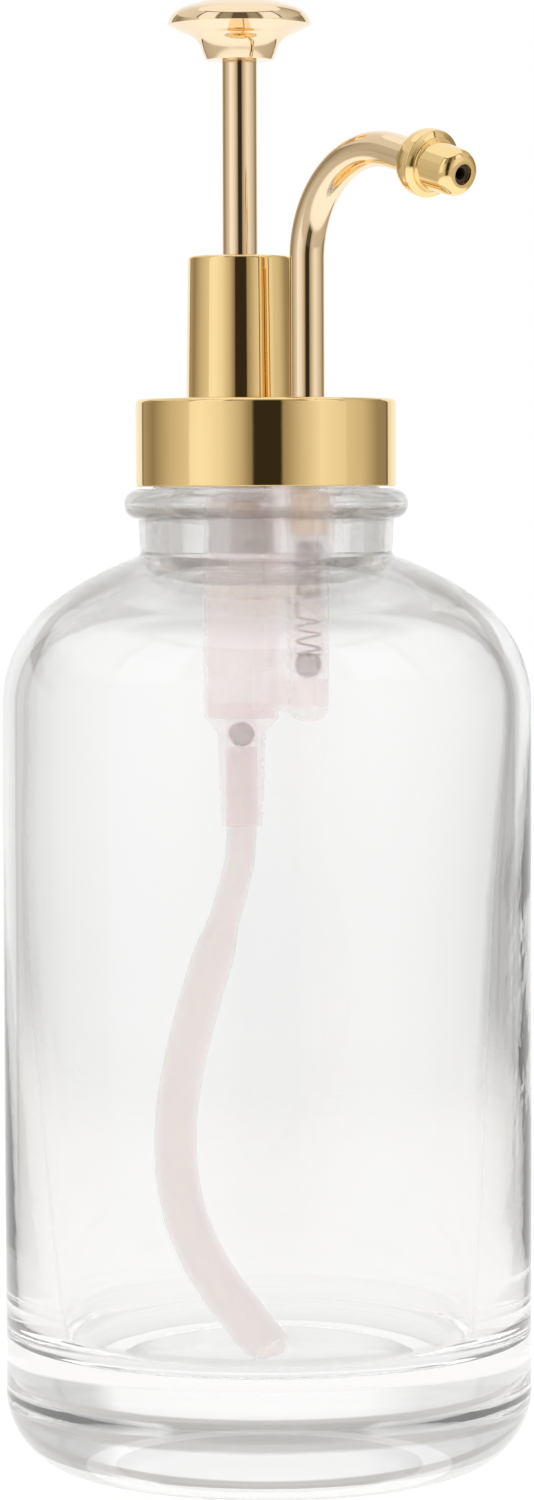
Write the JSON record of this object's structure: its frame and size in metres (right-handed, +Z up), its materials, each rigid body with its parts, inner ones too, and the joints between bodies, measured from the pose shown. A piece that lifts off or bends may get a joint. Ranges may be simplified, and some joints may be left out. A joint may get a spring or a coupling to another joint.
{
  "type": "pump syrup dispenser",
  "caption": "Clear glass bottle with a heavy base and a gold screw-on pump head: press knob on a rod, barrel, and a separate fixed swan-neck spout.",
  "frame": {"origin": "centre of the bottle's standing face, on the bottle's axis", "axes": "+Z up along the bottle's axis, +X from the plunger towards the spout"},
  "size_m": [0.0871, 0.082, 0.2282],
  "materials": {
    "glass": "clear, polished, uncoloured",
    "gold": "polished pale gold plating",
    "rose_gold": "polished champagne gold plating",
    "clear_plastic": "translucent natural polypropylene, faintly pink",
    "soft_tube": "translucent soft polyethylene",
    "white_plastic": "white moulded polypropylene",
    "steel": "bright stainless steel",
    "seal": "soft pale silicone",
    "dark_insert": "dark soft insert"
  },
  "bodies": {
    "bottle": {"bottle": "glass"},
    "pump_body": {"pump_housing": "clear_plastic", "passage_plug": "clear_plastic", "inlet_valve": "clear_plastic", "outlet_spring": "steel", "outlet_spring_stop": "clear_plastic", "dip_tube": "soft_tube", "barrel_sleeve": "gold", "rod_bush": "white_plastic", "spring_cup": "clear_plastic", "return_spring": "steel", "neck_gasket": "seal", "spout_tube": "rose_gold", "spout_seal": "seal", "nozzle_bell": "gold", "nozzle_tip": "gold", "nozzle_insert": "dark_insert"},
    "cover_disc": {"cover_disc": "gold"},
    "collar": {"collar_shell": "gold", "collar_cap": "white_plastic"},
    "plunger": {"press_knob": "rose_gold", "plunger_rod": "rose_gold", "spring_collar": "steel", "piston": "white_plastic", "piston_seal": "seal"},
    "inlet_ball": {"inlet_ball": "steel"},
    "outlet_ball": {"outlet_ball": "steel"}
  },
  "joints": [
    {"name": "plunger_press", "type": "slide", "parent": "pump_body", "child": "plunger", "axis": [0, 0, -1], "range_m": [0, 0.018], "stiffness_N_per_m": 300, "springref_m": -0.008, "deforming": ["return_spring"]},
    {"name": "inlet_ball_lift", "type": "slide", "parent": "pump_body", "child": "inlet_ball", "axis": [0, 0, 1], "range_m": [0, 0.0015]},
    {"name": "outlet_ball_lift", "type": "slide", "parent": "pump_body", "child": "outlet_ball", "axis": [0, 0, 1], "range_m": [0, 0.0015], "stiffness_N_per_m": 20, "springref_m": -0.002, "deforming": ["outlet_spring"]},
    {"name": "pump_lift", "type": "slide", "parent": "bottle", "child": "pump_body", "axis": [0, 0, 1], "range_m": [0, 0.06]},
    {"name": "collar_rise", "type": "slide", "parent": "pump_body", "child": "cover_disc", "axis": [0, 0, 1], "range_m": [0, 0.0047]},
    {"name": "collar_turn", "type": "hinge", "parent": "cover_disc", "child": "collar", "pos_m": [0, 0, 0.16], "axis": [0, 0, 1], "range_deg": [0, 400]}
  ],
  "couplings": [
    {"joint": "collar_turn", "follows": "collar_rise", "rad_per_m": 1484.2}
  ]
}
